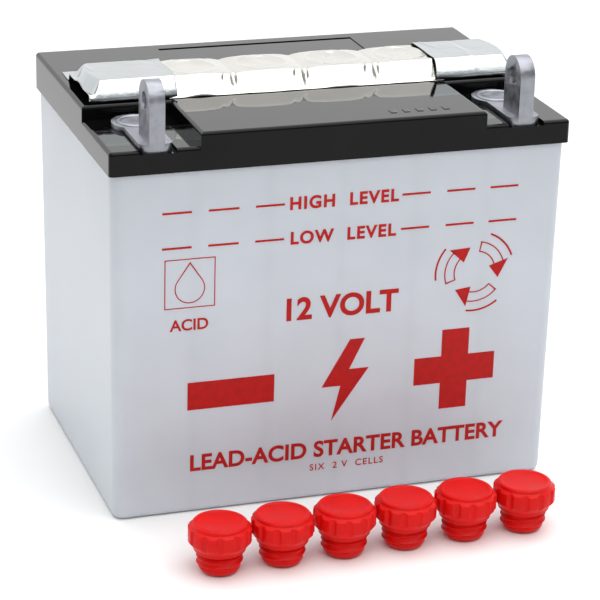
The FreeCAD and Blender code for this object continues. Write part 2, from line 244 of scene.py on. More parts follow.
def mottle_group():
    """Shader group: slow colour mottling and fine surface grain from object coordinates."""
    found = bpy.data.node_groups.get("surface_mottle")
    if found:
        return found
    group = bpy.data.node_groups.new("surface_mottle", "ShaderNodeTree")
    for name, value in (("Mottle Size", 0.02), ("Grain Size", 0.0008), ("Grain Depth", 0.00002)):
        socket = group.interface.new_socket(name, in_out="INPUT", socket_type="NodeSocketFloat")
        socket.default_value = value
    group.interface.new_socket("Mottle", in_out="OUTPUT", socket_type="NodeSocketFloat")
    group.interface.new_socket("Normal", in_out="OUTPUT", socket_type="NodeSocketVector")
    nodes, links = group.nodes, group.links
    inside = nodes.new("NodeGroupInput")
    out = nodes.new("NodeGroupOutput")
    place = nodes.new("ShaderNodeTexCoord")
    textures = []
    for socket_name, detail in (("Mottle Size", 5), ("Grain Size", 3)):
        share = nodes.new("ShaderNodeMath")
        share.operation = "DIVIDE"
        share.inputs[0].default_value = 1.0
        links.new(inside.outputs[socket_name], share.inputs[1])
        texture = nodes.new("ShaderNodeTexNoise")
        texture.inputs["Detail"].default_value = detail
        links.new(place.outputs["Object"], texture.inputs["Vector"])
        links.new(share.outputs[0], texture.inputs["Scale"])
        textures.append(texture.outputs["Fac"])
    bump = nodes.new("ShaderNodeBump")
    links.new(inside.outputs["Grain Depth"], bump.inputs["Distance"])
    links.new(textures[1], bump.inputs["Height"])
    links.new(textures[0], out.inputs["Mottle"])
    links.new(bump.outputs["Normal"], out.inputs["Normal"])
    return group


NOISE_LOW, NOISE_HIGH = 0.35, 0.65      # most of a noise texture's values lie between these


def ramp(nodes, links, source, low, high):
    """A colour ramp from low to high, driven by a noise texture."""
    node = nodes.new("ShaderNodeValToRGB")
    node.color_ramp.elements[0].position = NOISE_LOW
    node.color_ramp.elements[0].color = (*low, 1)
    node.color_ramp.elements[1].position = NOISE_HIGH
    node.color_ramp.elements[1].color = (*high, 1)
    links.new(source, node.inputs["Fac"])
    return node.outputs["Color"]


def spread(nodes, links, source, low, high, start=NOISE_LOW, stop=NOISE_HIGH):
    """Maps source from start..stop to low..high."""
    node = nodes.new("ShaderNodeMapRange")
    node.inputs["From Min"].default_value = start
    node.inputs["From Max"].default_value = stop
    node.inputs["To Min"].default_value = low
    node.inputs["To Max"].default_value = high
    links.new(source, node.inputs["Value"])
    return node.outputs["Result"]


def finish_of(name, low, high, rough, mottle, grain, depth, **constants):
    """A material with mottled colour and roughness and a grained surface, and its nodes."""
    material = bpy.data.materials.new(name)
    material.use_nodes = True
    nodes, links = material.node_tree.nodes, material.node_tree.links
    shader = nodes["Principled BSDF"]
    surface = nodes.new("ShaderNodeGroup")
    surface.node_tree = mottle_group()
    surface.inputs["Mottle Size"].default_value = mottle
    surface.inputs["Grain Size"].default_value = grain
    surface.inputs["Grain Depth"].default_value = depth
    links.new(ramp(nodes, links, surface.outputs["Mottle"], low, high), shader.inputs["Base Color"])
    links.new(spread(nodes, links, surface.outputs["Mottle"], *rough), shader.inputs["Roughness"])
    links.new(surface.outputs["Normal"], shader.inputs["Normal"])
    for socket, value in constants.items():
        shader.inputs[socket.replace("_", " ")].default_value = value
    return material, nodes, links, shader, surface


def shade_of(colour, share):
    """The colour made darker or lighter by share."""
    return tuple(min(1.0, channel * share) for channel in colour)


def case_finish(colour):
    """Milky polypropylene, darker at the partitions and at the base, with painted shade at the top of the
    case under the lid.
    """
    material, nodes, links, shader = finish_of(
        "milky_polypropylene", shade_of(colour, 0.95), colour,
        rough=(0.34, 0.46), mottle=0.03, grain=0.0007, depth=0.000012,
        Subsurface_Weight=0.35, Subsurface_Scale=0.004, Coat_Weight=0.15, Coat_Roughness=0.25, IOR=1.49)[:4]
    shader.inputs["Subsurface Radius"].default_value = (1.0, 1.0, 0.9)
    place = nodes.new("ShaderNodeTexCoord")
    parts = nodes.new("ShaderNodeSeparateXYZ")
    links.new(place.outputs["Object"], parts.inputs["Vector"])
    low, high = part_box("separators_1")
    first = (low.x + high.x) / 2
    low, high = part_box("separators_2")
    pitch = (low.x + high.x) / 2 - first
    wrap = nodes.new("ShaderNodeMath")
    wrap.operation = "PINGPONG"
    wrap.inputs[1].default_value = pitch / 2
    links.new(parts.outputs["X"], wrap.inputs[0])
    light = spread(nodes, links, wrap.outputs[0], low=0.93, high=1.0, start=0.0, stop=0.004)
    base = spread(nodes, links, parts.outputs["Z"], low=0.965, high=1.0, start=0.0, stop=0.03)
    # painted shade: the case darkens from 90 mm up to the lid, standing in for the shade under the lid's
    # overhang
    empty = spread(nodes, links, parts.outputs["Z"], low=1.0, high=0.8, start=0.09, stop=0.14)
    for shade in (base, empty):
        product = nodes.new("ShaderNodeMath")
        product.operation = "MULTIPLY"
        links.new(light, product.inputs[0])
        links.new(shade, product.inputs[1])
        light = product.outputs[0]
    mix = nodes.new("ShaderNodeMix")
    mix.data_type = "RGBA"
    mix.blend_type = "MIX"
    factor, dark, plain = (mix.inputs[index] for index in (0, 6, 7))
    dark.default_value = (*shade_of(colour, 0.55), 1)
    links.new(light, factor)
    links.new(shader.inputs["Base Color"].links[0].from_socket, plain)
    links.new(mix.outputs[2], shader.inputs["Base Color"])
    return material


def lid_finish(colour):
    """Black moulded lid: glossy, with fine mould grain and a little dust in its colour."""
    return finish_of("black_lid_plastic", colour, shade_of(colour, 1.8),
                     rough=(0.035, 0.07), mottle=0.018, grain=0.0006, depth=0.0000015,
                     IOR=1.5, Specular_Tint=(0.3, 0.3, 0.3, 1.0))[0]


def lead_finish(name, colour):
    """Cast lead alloy: dull metal, clouded by oxide."""
    return finish_of(name, shade_of(colour, 0.82), shade_of(colour, 1.08),
                     rough=(0.34, 0.5), mottle=0.004, grain=0.0011, depth=0.00006, Metallic=1.0)[0]


def foil_finish(name, colour):
    """Bright rolled aluminium foil with fine rolling lines across it."""
    material, nodes, links, shader, surface = finish_of(
        name, shade_of(colour, 0.94), colour,
        rough=(0.1, 0.22), mottle=0.012, grain=0.0016, depth=0.00003, Metallic=1.0)
    place = nodes.new("ShaderNodeTexCoord")
    lines = nodes.new("ShaderNodeTexNoise")
    stretch = nodes.new("ShaderNodeMapping")
    stretch.inputs["Scale"].default_value = (60, 6000, 60)
    lines.inputs["Scale"].default_value = 1.0
    links.new(place.outputs["Object"], stretch.inputs["Vector"])
    links.new(stretch.outputs["Vector"], lines.inputs["Vector"])
    bump = nodes.new("ShaderNodeBump")
    bump.inputs["Distance"].default_value = 0.000006
    links.new(lines.outputs["Fac"], bump.inputs["Height"])
    links.new(surface.outputs["Normal"], bump.inputs["Normal"])
    links.new(bump.outputs["Normal"], shader.inputs["Normal"])
    return material


def plug_finish(colour):
    """Red moulded plastic, satin, slightly uneven in its colour."""
    return finish_of("red_plug_plastic", shade_of(colour, 0.9), colour,
                     rough=(0.3, 0.42), mottle=0.006, grain=0.0004, depth=0.000008,
                     Subsurface_Weight=0.12, Subsurface_Scale=0.001, IOR=1.49, Specular_IOR_Level=0.16)[0]


def ink_finish(colour):
    """Red printing ink, matt, a little thin in places."""
    return finish_of("red_ink", colour, shade_of(colour, 1.25),
                     rough=(0.45, 0.6), mottle=0.003, grain=0.0003, depth=0.000004,
                     Specular_IOR_Level=0.2)[0]


def plate_finish(name, colour):
    """Pasted battery plate: rough active mass over a grid that shows through as squares."""
    material, nodes, links, shader, surface = finish_of(
        name, shade_of(colour, 0.75), shade_of(colour, 1.2),
        rough=(0.75, 0.9), mottle=0.006, grain=0.0009, depth=0.0001)
    place = nodes.new("ShaderNodeTexCoord")
    squares = nodes.new("ShaderNodeTexBrick")
    squares.offset = 0.0
    squares.inputs["Scale"].default_value = 1.0
    squares.inputs["Brick Width"].default_value = 0.008
    squares.inputs["Row Height"].default_value = 0.006
    squares.inputs["Mortar Size"].default_value = 0.0006
    turn = nodes.new("ShaderNodeMapping")
    turn.inputs["Rotation"].default_value = (0, math.pi / 2, 0)
    links.new(place.outputs["Object"], turn.inputs["Vector"])
    links.new(turn.outputs["Vector"], squares.inputs["Vector"])
    bump = nodes.new("ShaderNodeBump")
    bump.inputs["Distance"].default_value = 0.0002
    links.new(squares.outputs["Fac"], bump.inputs["Height"])
    links.new(surface.outputs["Normal"], bump.inputs["Normal"])
    links.new(bump.outputs["Normal"], shader.inputs["Normal"])
    return material


def give(node, material):
    """Gives a CAD node its finish."""
    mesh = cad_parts[node].data
    mesh.materials.clear()
    mesh.materials.append(material)


# --- settings that a user would change ---------------------------------------------------------

def length(name, description, default):
    """A size in metres."""
    return bpy.props.FloatProperty(name=name, description=description, default=default,
                                   min=0.0, unit="LENGTH", subtype="DISTANCE", precision=5)


def colour(name, description, default):
    """A colour, in linear light."""
    return bpy.props.FloatVectorProperty(name=name, description=description, default=default,
                                         size=3, min=0.0, max=1.0, subtype="COLOR")


class BatteryCaseSettings(bpy.types.PropertyGroup):
    case_colour: colour("Case colour", "Milky plastic of the case", (0.575, 0.615, 0.675))
    lid_colour: colour("Lid colour", "Black plastic of the lid", (0.0022, 0.0022, 0.0023))
    mark_x: length("First mark", "First raised mark, right of the lid's middle", 21.5 * MM)
    mark_pitch: length("Mark pitch", "From one raised mark to the next", 5.4 * MM)
    mark_front: length("Mark front", "Raised marks in front of the filler necks", 53 * MM)
    mark_size: length("Mark size", "Raised marks front to back", 3.6 * MM)
    mark_rise: length("Mark rise", "Raised marks above the lid", 0.15 * MM)


class BatteryTerminalSettings(bpy.types.PropertyGroup):
    lead_colour: colour("Lead colour", "Cast lead alloy", (0.33, 0.34, 0.375))
    lug_thickness: length("Lug thickness", "Upright lug, across its bolt hole", 6 * MM)
    lug_width: length("Lug width", "Upright lug, front to back", 15.5 * MM)
    hole_radius: length("Hole radius", "Bolt hole in the lug", 3.3 * MM)
    foot_width: length("Foot width", "Foot that joins the lug to its pad", 13 * MM)
    foot_thickness: length("Foot thickness", "Foot and pad", 3.4 * MM)
    post_radius: length("Post radius", "Post that comes up through the pad", 5.1 * MM)
    rounding: length("Rounding", "Rounding of the cast edges", 1.1 * MM)


class BatteryPlugSettings(bpy.types.PropertyGroup):
    plug_colour: colour("Plug colour", "Red plastic of the vent plugs", (0.7, 0.005, 0.004))
    lobes: bpy.props.IntProperty(name="Lobes", description="Finger lobes round the grip", default=12, min=3)
    turn: bpy.props.FloatProperty(name="Turn", description="Turn of each plug past the one before",
                                  default=math.radians(17), subtype="ANGLE", unit="ROTATION")
    stem_radius: length("Stem radius", "Stem over the thread crests", 8.6 * MM)
    stem_height: length("Stem height", "Threaded stem", 9 * MM)
    thread_depth: length("Thread depth", "Depth of the screw thread", 0.7 * MM)
    thread_pitch: length("Thread pitch", "Rise of the thread in one turn", 2.6 * MM)
    wall: length("Wall", "Wall of the hollow stem", 1.7 * MM)
    grip_radius: length("Grip radius", "Scalloped grip over its lobes", 12 * MM)
    rounding: length("Rounding", "Rounding of the moulded edges", 0.35 * MM)


class BatteryFoilSettings(bpy.types.PropertyGroup):
    middle_colour: colour("Middle colour", "Foil of the middle strip", (0.68, 0.67, 0.63))
    end_colour: colour("End colour", "Foil of the two end strips", (0.5, 0.53, 0.54))
    rim_radius: length("Rim radius", "Filler neck rim under the foil", 11.6 * MM)
    rim_rise: length("Rim rise", "Foil above the lid where it lies on a neck rim", 7.3 * MM)
    saddle_dip: length("Saddle dip", "How far the foil sinks between two necks", 0.9 * MM)
    saddle_draw: length("Saddle draw", "How far the foil's front draws in between two necks", 0.9 * MM)
    skirt_width: length("Skirt width", "Skirt from a neck rim down to the foil's edge", 5.2 * MM)
    front_edge: length("Front edge", "Front edge of the foil, in front of the necks", 16.8 * MM)
    back_edge: length("Back edge", "Back edge of the middle strip, behind the necks", 18.5 * MM)
    end_back_edge: length("End back edge", "Back edge of an end strip, behind the necks", 29 * MM)
    end_press: bpy.props.FloatProperty(
        name="End press", description="How far an end strip closes at its outer end",
        default=0.64, min=0.0, max=1.0, subtype="FACTOR")
    end_fall: length("End fall", "Run over which an end strip closes", 4.4 * MM)
    pinch: length("Pinch", "Depth of the folds between two necks", 1.3 * MM)
    thickness: length("Thickness", "Foil with its adhesive", 0.12 * MM)
    crease: length("Crease", "Height of the sharpest creases", 0.4 * MM)
    mesh_size: length("Mesh size", "Squares that the foil is shaped from", 0.55 * MM)


class BatteryPrintSettings(bpy.types.PropertyGroup):
    ink_colour: colour("Ink colour", "Red printing ink", (0.38, 0.006, 0.005))
    ink_thickness: length("Ink thickness", "Ink above the case", 0.06 * MM)
    upper_level: length("Upper level", "Upper acid level above the base", 125 * MM)
    lower_level: length("Lower level", "Lower acid level above the base", 111 * MM)


class BatteryStageSettings(bpy.types.PropertyGroup):
    lens: bpy.props.FloatProperty(name="Lens", description="Focal length", default=148.4, unit="CAMERA")
    floor_colour: colour("Floor colour", "Pale floor", (0.9, 0.9, 0.9))
    front_sky: bpy.props.FloatProperty(
        name="Front sky", description="Strength of the light in front of the battery", default=0.38)
    back_sky: bpy.props.FloatProperty(
        name="Back sky", description="Strength of the light behind the battery", default=1.2)
    overhead: bpy.props.FloatProperty(name="Overhead light", description="Power of the overhead light",
                                      default=35.0, unit="POWER")
    side: bpy.props.FloatProperty(name="Side light", description="Power of the left light",
                                  default=1.4, unit="POWER")


# --- case, lid and cells -----------------------------------------------------------------------

class BATTERY_OT_case(bpy.types.Operator):
    """Gives the case, its lid and the seals their plastics"""
    bl_idname = "battery.case"
    bl_label = "Case and lid"

    def execute(self, context):
        settings = context.scene.battery_case
        give("container", case_finish(tuple(settings.case_colour)))
        give("lid", lid_finish(tuple(settings.lid_colour)))
        rubber = finish_of("seal_rubber", (0.015, 0.015, 0.015), (0.03, 0.03, 0.03),
                           rough=(0.6, 0.75), mottle=0.003, grain=0.0005, depth=0.00003)[0]
        for side in SIDES:
            give("post_seal_" + side, rubber)
        return {"FINISHED"}


POSITIVE_PASTE = (0.16, 0.075, 0.05)
NEGATIVE_PASTE = (0.26, 0.27, 0.29)
SEPARATOR_COLOURS = ((0.62, 0.6, 0.55), (0.72, 0.7, 0.66))


class BATTERY_OT_cells(bpy.types.Operator):
    """Gives the plates, separators and welds of the six cells their finishes"""
    bl_idname = "battery.cells"
    bl_label = "Cells"

    def execute(self, context):
        positive = plate_finish("positive_paste", POSITIVE_PASTE)
        negative = plate_finish("negative_paste", NEGATIVE_PASTE)
        sheet = finish_of("separator_sheet", *SEPARATOR_COLOURS,
                          rough=(0.8, 0.95), mottle=0.01, grain=0.0006, depth=0.00004)[0]
        lead = lead_finish("weld_lead", tuple(context.scene.battery_terminal.lead_colour))
        for index in range(1, CELLS + 1):
            give(f"positive_plates_{index}", positive)
            give(f"negative_plates_{index}", negative)
            give(f"separators_{index}", sheet)
        for index in range(1, CELLS):
            give(f"cell_weld_{index}", lead)
        return {"FINISHED"}


# --- terminals ---------------------------------------------------------------------------------

FOOT_ROUNDING = 0.28           # rounding of the foot's front corners over the foot's width
WELD_RING_REACH = 1.32         # weld ring's radius over the post's
WELD_RING_FLATNESS = 0.6


def make_terminal(side, settings):
    """Cast terminal: a foot with a round front, a pad with a weld ring, and an arched lug."""
    low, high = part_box("terminal_" + side)
    middle_x = (low.x + high.x) / 2
    pad_radius = (high.x - low.x) / 2
    post_y = high.y - pad_radius
    foot_top = low.z + settings.foot_thickness
    half_foot = settings.foot_width / 2
    half_lug = settings.lug_width / 2
    lug_y = low.y + half_lug
    arch_z = high.z - half_lug
    foot_middle = (low.z + foot_top) / 2
    near = MM / 10

    foot = add_block((middle_x - half_foot, low.y, low.z), (middle_x + half_foot, post_y, foot_top))
    edit(foot, "EDGE")
    pick(foot, "EDGE", lambda p: abs(p.y - low.y) < near and abs(p.z - foot_middle) < near)
    bpy.ops.mesh.bevel(offset=settings.foot_width * FOOT_ROUNDING, segments=8, affect="EDGES")
    leave()
    pad = add_drum((middle_x, post_y, foot_middle), pad_radius, settings.foot_thickness, sides=96)
    cut(foot, pad, "UNION")
    blade = add_block((middle_x - settings.lug_thickness / 2, low.y, low.z + MM),
                      (middle_x + settings.lug_thickness / 2, low.y + settings.lug_width, arch_z))
    arch = add_drum((middle_x, lug_y, arch_z), half_lug, settings.lug_thickness, "X", 96)
    cut(blade, arch, "UNION")
    cut(foot, blade, "UNION")
    bolt_hole = add_drum((middle_x, lug_y, arch_z), settings.hole_radius, settings.lug_thickness * 2, "X", 48)
    cut(foot, bolt_hole)
    post_hole = add_drum((middle_x, post_y, low.z), settings.post_radius, settings.foot_thickness * 4,
                         sides=48)
    cut(foot, post_hole)
    clean(foot)
    soften(foot, settings.rounding, segments=4, angle=40)
    deselect()
    bpy.ops.mesh.primitive_torus_add(location=(middle_x, post_y, foot_top),
                                     major_segments=72, minor_segments=16,
                                     major_radius=settings.post_radius * WELD_RING_REACH,
                                     minor_radius=settings.rounding)
    ring = bpy.context.object
    ring.scale = (1, 1, WELD_RING_FLATNESS)
    apply_place(ring)
    cut(foot, ring, "UNION")
    clean(foot)
    activate(foot)
    bpy.ops.object.shade_smooth_by_angle(angle=math.radians(WELDED_ANGLE))
    return foot


class BATTERY_OT_terminals(bpy.types.Operator):
    """Builds the two cast lead terminals round their posts"""
    bl_idname = "battery.terminals"
    bl_label = "Terminals"

    def execute(self, context):
        settings = context.scene.battery_terminal
        lead = lead_finish("cast_lead", tuple(settings.lead_colour))
        for side in SIDES:
            terminal = make_terminal(side, settings)
            settle(terminal, "cast_terminal_" + side, lead, "battery", ["terminal_" + side])
            give("post_" + side, lead)
        return {"FINISHED"}


# --- vent plugs --------------------------------------------------------------------------------

THREAD_START = 2.7 * MM        # thread above the stem's end
THREAD_TURNS = 2.0
THREAD_SINK = 0.02 * MM        # the thread's middle outside the stem's core
THREAD_SHARE = 1.3             # thread's half width over its depth
SHOULDER_RISE = 1.6 * MM       # flange
SKIRT_RISE = 2.2 * MM          # slope from the flange out to the grip
HEAD_STEP = 1.8 * MM           # head above the grip
FLUTE_RADIUS = 1.8 * MM
VENT_RADIUS = 0.6 * MM


def make_thread(settings, start, turns):
    """Closed screw thread that wraps the stem."""
    core = settings.stem_radius - settings.thread_depth
    deselect()
    bpy.ops.mesh.primitive_circle_add(vertices=4, radius=settings.thread_depth * THREAD_SHARE,
                                      fill_type="NOTHING", location=(core + THREAD_SINK, 0, start),
                                      rotation=(math.pi / 2, 0, 0))
    thread = bpy.context.object
    apply_place(thread)
    screw = thread.modifiers.new("screw", "SCREW")
    screw.angle = 2 * math.pi * turns
    screw.screw_offset = settings.thread_pitch * turns
    screw.steps = round(64 * turns)
    screw.render_steps = screw.steps
    screw.use_merge_vertices = False
    apply_modifiers(thread)
    edit(thread, "EDGE")
    bpy.ops.mesh.select_non_manifold()
    bpy.ops.mesh.edge_face_add()
    leave()
    return thread


def make_plug(settings, height):
    """Vent plug standing on its stem at the world's origin."""
    core = settings.stem_radius - settings.thread_depth
    bore = core - settings.wall - 1.2 * MM
    bore_top = height - 3.5 * MM
    grip = settings.grip_radius
    neck = settings.stem_height
    flange = grip - 2.1 * MM
    skirt = neck + SHOULDER_RISE
    grip_low = skirt + SKIRT_RISE
    top_step = height - HEAD_STEP
    disc = grip - 1.6 * MM
    dish = height - 0.3 * MM
    outline = [
        (bore * 0.1, bore_top), (bore, bore_top), (bore, 0.4 * MM), (bore + 0.4 * MM, 0),
        (core - 2.2 * MM, 0), (core - 0.9 * MM, 0.7 * MM), (core, 2.1 * MM), (core, neck),
        (flange - 0.3 * MM, neck), (flange, neck + 0.3 * MM),
        (flange, skirt - 0.3 * MM), (flange + 0.15 * MM, skirt),
        (grip, grip_low), (grip, top_step - 0.5 * MM), (grip - 0.6 * MM, top_step),
        (disc, top_step + 0.5 * MM), (disc, height - 0.4 * MM), (disc - 0.4 * MM, height),
        (disc - 1.6 * MM, height), (disc - 1.9 * MM, dish), (disc * 0.1, dish)]
    plug = lathe(outline, 144)
    away = grip + 0.9 * MM
    flutes = []
    for index in range(settings.lobes):
        angle = 2 * math.pi * (index + 0.5) / settings.lobes
        middle = (away * math.cos(angle), away * math.sin(angle), (skirt + height) / 2)
        flutes.append(add_drum(middle, FLUTE_RADIUS, height - skirt, sides=32))
    cut(plug, join(flutes))
    clean(plug)
    soften(plug, settings.rounding, segments=3, angle=38)
    cut(plug, make_thread(settings, THREAD_START, THREAD_TURNS), "UNION")
    vent = add_drum((0, grip, grip_low + 2.7 * MM), VENT_RADIUS, grip, "Y", 24)
    cut(plug, vent)
    clean(plug)
    activate(plug)
    bpy.ops.object.shade_smooth_by_angle(angle=math.radians(WELDED_ANGLE))
    return plug


class BATTERY_OT_plugs(bpy.types.Operator):
    """Builds one vent plug and stands six copies in a row"""
    bl_idname = "battery.plugs"
    bl_label = "Vent plugs"

    def execute(self, context):
        settings = context.scene.battery_plug
        red = plug_finish(tuple(settings.plug_colour))
        low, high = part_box("vent_plug_1")
        plug = make_plug(settings, high.z - low.z)
        for index in range(CELLS):
            node = f"vent_plug_{index + 1}"
            low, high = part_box(node)
            offset = ((low.x + high.x) / 2, (low.y + high.y) / 2, low.z)
            copy = copy_of(plug, offset, index * settings.turn)
            settle(copy, f"screw_plug_{index + 1}", red, f"plug_{index + 1}", [node])
            give(f"plug_baffle_{index + 1}", red)
        bpy.data.objects.remove(plug, do_unlink=True)
        return {"FINISHED"}


# --- foil seal ---------------------------------------------------------------------------------

# Where the foil's own shape comes from, as shares of the neck rim's radius or in metres.
DISH_DEPTH = 0.8 * MM          # foil sunk inside a neck's rim
DISH_RUN = 0.55                # from the rim inwards, over which it sinks
RING_RISE = 0.3 * MM           # ridge where the foil lies on the rim
RING_PLACE = 0.88
RING_WIDTH = 0.8 * MM
DOME_SHOULDER = 0.97           # where a dome's top turns down into its skirt
DOME_FALL = 1.4                # power of the skirt's curve
TUNNEL_SHOULDER = 1.02
TUNNEL_FALL = 1.6
TUNNEL_RISE = 1.06             # an end strip over the middle strip's height
TUNNEL_BOW = 2.5 * MM          # the closed end starts nearer the neck at its front and back
MIDDLE_GAP = 0.08 * MM         # middle strip above the rims
END_GAP = 0.2 * MM             # end strips above the rims, where they lap the middle strip
LAP_RISE = 0.2 * MM            # further rise of an end strip right at its inner edge
LAP_RUN = 1.8 * MM
LAP_LIFT = 0.4 * MM            # an end strip's edge where it laps the middle strip down on the lid
FLOOR_GAP = 0.15 * MM          # lowest point of any foil above the lid
FLOOR_CRUMPLE = 0.15 * MM      # crumple of the foil where it lies on the lid

# Crumples and uneven edges, in metres.
FACET_SIZE = 0.011
SMALL_FACET_SIZE = 0.0045
SMALL_FACET_SHARE = 0.35
SMALL_FACET_SHIFT = 0.05
SWELL_LENGTH, SWELL_WIDTH, SWELL_SHARE = 0.02, 0.012, 0.5
EDGE_WAVE, EDGE_WAVE_LENGTH, EDGE_WAVE_POWER = 0.6 * MM, 0.012, 6
END_WAVE, END_WAVE_LENGTH, END_WAVE_POWER = 0.5 * MM, 0.009, 30

# Random creases: degrees from across and from along the strip, then metres.
CREASES_ACROSS = 0.65          # share that runs across the strip
CREASE_TURN_ACROSS, CREASE_TURN_ALONG = 22, 40
CREASE_REACH = 22              # either side of the necks, in millimetres
CREASE_WIDTHS, CREASE_RUNS = (0.35, 1.0), (4, 12)
CREASE_HEIGHTS = (-0.8, 1.0)   # shares of the sharpest crease

# Node, end, seed, number of creases and crumple of each strip.
STRIPS = (
    ("foil_strip", 0, 11, 34, 0.16 * MM),
    ("foil_end_strip_left", -1, 5, 8, 0.1 * MM),
    ("foil_end_strip_right", 1, 8, 7, 0.1 * MM),
)


def ease(share):
    """Smooth step from 0 to 1."""
    share = min(1.0, max(0.0, share))
    return share * share * (3 - 2 * share)


def neck_places():
    """X of the middle of each cell, where its filler neck stands."""
    places = []
    for index in range(1, CELLS + 1):
        low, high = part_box(f"separators_{index}")
        places.append((low.x + high.x) / 2)
    return places


def dome_height(x, y, necks, settings):
    """Foil drawn tight over the necks: dished over each one, lower and drawn in between two."""
    rim = settings.rim_radius
    neck = min(necks, key=lambda place: abs(x - place))
    between = min(1.0, abs(x - neck) / (necks[1] - necks[0]) * 2)
    from_middle = math.hypot(x - neck, y)
    dish = DISH_DEPTH * ease((rim - from_middle) / (rim * DISH_RUN))
    ring = RING_RISE * math.exp(-((from_middle - rim * RING_PLACE) / RING_WIDTH) ** 2)
    top = settings.rim_rise - dish + ring - settings.saddle_dip * between ** 4
    away = max(0.0, abs(y) + settings.saddle_draw * between ** 2 - rim * DOME_SHOULDER)
    return top * (1 - (away / settings.skirt_width) ** DOME_FALL)


def tunnel_height(out, y, settings):
    """Foil folded over the end neck, with its middle at out = 0, and pressed down past it."""
    rim = settings.rim_radius
    away = max(0.0, abs(y) - rim * TUNNEL_SHOULDER)
    across = 1 - (away / settings.skirt_width) ** TUNNEL_FALL
    start = rim - TUNNEL_BOW * min(1.0, abs(y) / rim) ** 2
    along = 1 - settings.end_press * ease((out - start) / settings.end_fall)
    return settings.rim_rise * TUNNEL_RISE * min(across, along)


def saddle_folds(necks, settings):
    """Two pinched folds in the front skirt between each two necks, one steep and one aslant."""
    front, depth = -settings.rim_radius, -settings.pinch
    folds = []
    for left, right in zip(necks, necks[1:]):
        middle = (left + right) / 2
        folds.append((middle, front, math.radians(84), 0.8 * MM, 2.0 * MM, depth))
        folds.append((middle - 4 * MM, front, math.radians(62), 0.55 * MM, 1.6 * MM, depth * 0.7))
    return folds


def crease_height(x, y, creases):
    """Sum of narrow folds, each a line with its own place, direction, width and length."""
    total = 0.0
    for middle_x, middle_y, angle, width, run, height in creases:
        along = (x - middle_x) * math.cos(angle) + (y - middle_y) * math.sin(angle)
        across = (y - middle_y) * math.cos(angle) - (x - middle_x) * math.sin(angle)
        if abs(across) > 4 * width or abs(along) > 1.5 * run:
            continue
        total += height * math.exp(-abs(across) / width) * ease(1.5 - abs(along) / run)
    return total


def facets(x, y, size, height):
    """Faceted crumple: ridges between the cells of a cellular noise."""
    near = noise.voronoi(Vector((x / size, y / size, 0.37)))[0]
    return height * min(0.5, near[1] - near[0])


def crumple_height(x, y, crumple):
    """Facets of two sizes over a slow swell."""
    swell = noise.noise(Vector((x / SWELL_LENGTH, y / SWELL_WIDTH, 4.0)))
    return (facets(x, y, FACET_SIZE, crumple)
            + facets(x + SMALL_FACET_SHIFT, y, SMALL_FACET_SIZE, crumple * SMALL_FACET_SHARE)
            + swell * crumple * SWELL_SHARE)


def draw_creases(seed, low_x, high_x, count, crease):
    """Random folds, most of them across the strip, from a seeded draw."""
    draw = random.Random(seed)
    creases = []
    for _ in range(count):
        if draw.random() < CREASES_ACROSS:
            angle = math.radians(90 + draw.uniform(-CREASE_TURN_ACROSS, CREASE_TURN_ACROSS))
        else:
            angle = math.radians(draw.uniform(-CREASE_TURN_ALONG, CREASE_TURN_ALONG))
        creases.append((draw.uniform(low_x, high_x), draw.uniform(-CREASE_REACH, CREASE_REACH) * MM, angle,
                        draw.uniform(*CREASE_WIDTHS) * MM, draw.uniform(*CREASE_RUNS) * MM,
                        draw.uniform(*CREASE_HEIGHTS) * crease))
    return creases


def wavy(x, y, half_x, middle_x, half_y):
    """The point with its strip's edges made a little uneven."""
    edge_noise = noise.noise(Vector((x / EDGE_WAVE_LENGTH, math.copysign(3.0, y), 0.5)))
    end = (x - middle_x) / half_x
    end_noise = noise.noise(Vector((y / END_WAVE_LENGTH, math.copysign(9.0, end), 0.8)))
    return (x + end_noise * END_WAVE * abs(end) ** END_WAVE_POWER,
            y + edge_noise * EDGE_WAVE * (abs(y) / half_y) ** EDGE_WAVE_POWER)


def shape_strip(grid, settings, end, creases, crumple):
    """Presses a level grid over the necks. End is 0 for the middle strip, -1 or 1 for an end strip."""
    strip_low, strip_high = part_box("foil_strip")
    lap = strip_high.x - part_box("foil_end_strip_right")[0].x
    necks = neck_places()
    xs = [vertex.co.x for vertex in grid.data.vertices]
    half_y = max(vertex.co.y for vertex in grid.data.vertices)
    middle_x, half_x = (min(xs) + max(xs)) / 2, (max(xs) - min(xs)) / 2
    for vertex in grid.data.vertices:
        x, y = wavy(vertex.co.x, vertex.co.y, half_x, middle_x, half_y)
        crumpled = crumple_height(x, y, crumple)
        lowest = FLOOR_GAP
        if end:
            from_seam = half_x + end * (x - middle_x)
            height = tunnel_height(end * x - necks[-1], y, settings) + END_GAP
            height += LAP_RISE * math.exp(-from_seam / LAP_RUN)
            lowest += LAP_LIFT * (1 - ease((from_seam - lap) / lap))
        else:
            height = dome_height(x, y, necks[1:-1], settings) + MIDDLE_GAP
        height += crease_height(x, y, creases) + crumpled
        lowest += FLOOR_CRUMPLE * max(0.0, crumpled / crumple)
        vertex.co = (x, y, strip_low.z + max(lowest, height))


def finish_foil(grid, settings):
    """Gives the shaped foil its thickness and smooth shading."""
    thick = grid.modifiers.new("thickness", "SOLIDIFY")
    thick.thickness = settings.thickness
    thick.offset = 1.0
    apply_modifiers(grid)
    bpy.ops.object.shade_smooth()


